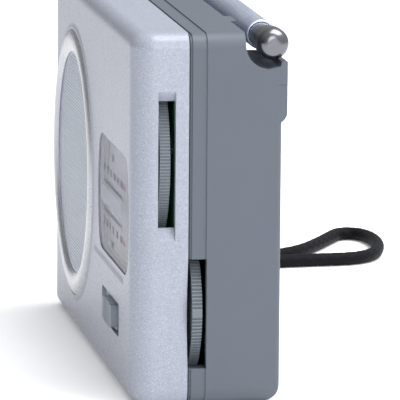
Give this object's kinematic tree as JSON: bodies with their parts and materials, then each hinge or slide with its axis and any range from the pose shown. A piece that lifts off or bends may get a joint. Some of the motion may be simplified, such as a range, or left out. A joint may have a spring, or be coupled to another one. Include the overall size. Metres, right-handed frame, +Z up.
{
  "type": "pocket am fm radio",
  "caption": "Landscape pocket AM/FM radio: silver front with round speaker grille and dial window, gray back, edge thumbwheels, telescopic antenna, wrist strap.",
  "frame": {"origin": "centre of the bottom face, half way between the front face and the back face", "axes": "+X right as seen from the front, -Y out of the front face, +Z up"},
  "size_m": [0.1793, 0.0835, 0.0728],
  "materials": {
    "silver_plastic": "silver paint, fine metallic sparkle, satin",
    "gray_plastic": "moulded gray plastic, fine texture",
    "ring_metal": "spun aluminium trim, bright satin",
    "grille_metal": "perforated aluminium sheet, silver lacquer",
    "lens": "smoked clear acrylic",
    "dial_card": "printed dial card, satin",
    "pointer": "red moulded plastic",
    "knob_gray": "moulded gray plastic, satin",
    "gear_white": "natural acetal",
    "screw_steel": "zinc plated steel",
    "antenna_chrome": "plated brass tube",
    "board_green": "solder-masked laminate",
    "black_plastic": "black moulded plastic",
    "capacitor_body": "milky moulded plastic",
    "can_steel": "tinned can",
    "ferrite": "sintered ferrite, dull",
    "copper_wire": "enamelled copper winding",
    "contact_metal": "nickel plated spring steel",
    "cell_wrap": "plain printed wrap",
    "paper_cone": "felted paper cone",
    "gasket_felt": "thin felt",
    "strap_braid": "braided nylon cord",
    "strap_plastic": "black crimp"
  },
  "bodies": {
    "case": {"front_shell": "silver_plastic", "back_shell": "gray_plastic", "speaker_ring": "ring_metal", "speaker_grille": "grille_metal", "speaker_gasket": "gasket_felt", "speaker_frame": "can_steel", "speaker_magnet": "ferrite", "dial_window": "lens", "dial_plate": "dial_card", "idler_pin": "screw_steel", "tuning_capacitor": "capacitor_body", "volume_pot": "black_plastic", "switch_body": "can_steel", "circuit_board": "board_green", "board_screws": "screw_steel", "tuner_chip": "black_plastic", "tuned_coils": "can_steel", "electrolytics": "cell_wrap", "ferrite_rod": "ferrite", "ferrite_coil": "copper_wire", "headphone_jack": "black_plastic", "aa_cell_lower": "cell_wrap", "aa_cell_upper": "cell_wrap", "battery_link": "contact_metal", "battery_contacts": "contact_metal", "battery_springs": "contact_metal", "case_screws": "screw_steel", "strap_ring": "contact_metal", "strap_ferrule": "strap_plastic", "strap_cord": "strap_braid"},
    "tuning_assembly": {"tuning_wheel": "knob_gray", "tuning_shaft": "screw_steel", "tuning_screw": "screw_steel"},
    "idler": {"idler_gear": "gear_white"},
    "pointer_slide": {"pointer_rack": "pointer"},
    "volume_control": {"volume_wheel": "knob_gray", "volume_screw": "screw_steel"},
    "band_switch": {"switch_knob": "knob_gray"},
    "battery_cover": {"battery_door": "gray_plastic"},
    "speaker_diaphragm": {"speaker_cone": "paper_cone"},
    "antenna_base": {"antenna_swivel": "antenna_chrome", "antenna_pin": "screw_steel"},
    "antenna_outer": {"antenna_knuckle": "antenna_chrome", "antenna_tube_outer": "antenna_chrome"},
    "antenna_middle": {"antenna_tube_middle": "antenna_chrome"},
    "antenna_inner": {"antenna_tube_inner": "antenna_chrome"},
    "antenna_end": {"antenna_rod": "antenna_chrome", "antenna_tip": "antenna_chrome"}
  },
  "joints": [
    {"name": "tuning_turn", "type": "hinge", "parent": "case", "child": "tuning_assembly", "pos_m": [0.037, -0.0082, 0.0468], "axis": [0, 1, 0], "range_deg": [-13, 156]},
    {"name": "idler_turn", "type": "hinge", "parent": "case", "child": "idler", "pos_m": [0.02386, -0.0104, 0.05032], "axis": [0, 1, 0], "range_deg": [-290, 26]},
    {"name": "pointer_travel", "type": "slide", "parent": "case", "child": "pointer_slide", "axis": [1, 0, 0], "range_m": [-0.0242, 0.0022]},
    {"name": "volume_turn", "type": "hinge", "parent": "case", "child": "volume_control", "pos_m": [0.0416, -0.0018, 0.0179], "axis": [0, 1, 0], "range_deg": [-150, 150]},
    {"name": "band_slide", "type": "slide", "parent": "case", "child": "band_switch", "axis": [1, 0, 0], "range_m": [-0.004, 0]},
    {"name": "battery_door_slide", "type": "slide", "parent": "case", "child": "battery_cover", "axis": [-1, 0, 0], "range_m": [0, 0.06]},
    {"name": "cone_travel", "type": "slide", "parent": "case", "child": "speaker_diaphragm", "axis": [0, 1, 0], "range_m": [-0.0005, 0.0005], "stiffness_N_per_m": 900},
    {"name": "antenna_swivel_turn", "type": "hinge", "parent": "case", "child": "antenna_base", "pos_m": [-0.046, 0.0128, 0.0697], "axis": [0, 0, 1], "range_deg": [0, 180]},
    {"name": "antenna_tilt", "type": "hinge", "parent": "antenna_base", "child": "antenna_outer", "pos_m": [-0.046, 0.0128, 0.0697], "axis": [0, -1, 0], "range_deg": [0, 90]},
    {"name": "antenna_pull_middle", "type": "slide", "parent": "antenna_outer", "child": "antenna_middle", "axis": [1, 0, 0], "range_m": [0, 0.068]},
    {"name": "antenna_pull_inner", "type": "slide", "parent": "antenna_middle", "child": "antenna_inner", "axis": [1, 0, 0], "range_m": [0, 0.07]},
    {"name": "antenna_pull_end", "type": "slide", "parent": "antenna_inner", "child": "antenna_end", "axis": [1, 0, 0], "range_m": [0, 0.07]}
  ],
  "couplings": [
    {"joint": "idler_turn", "follows": "tuning_turn", "ratio": -1.8333},
    {"joint": "pointer_travel", "follows": "tuning_turn", "m_per_rad": -0.0088}
  ]
}
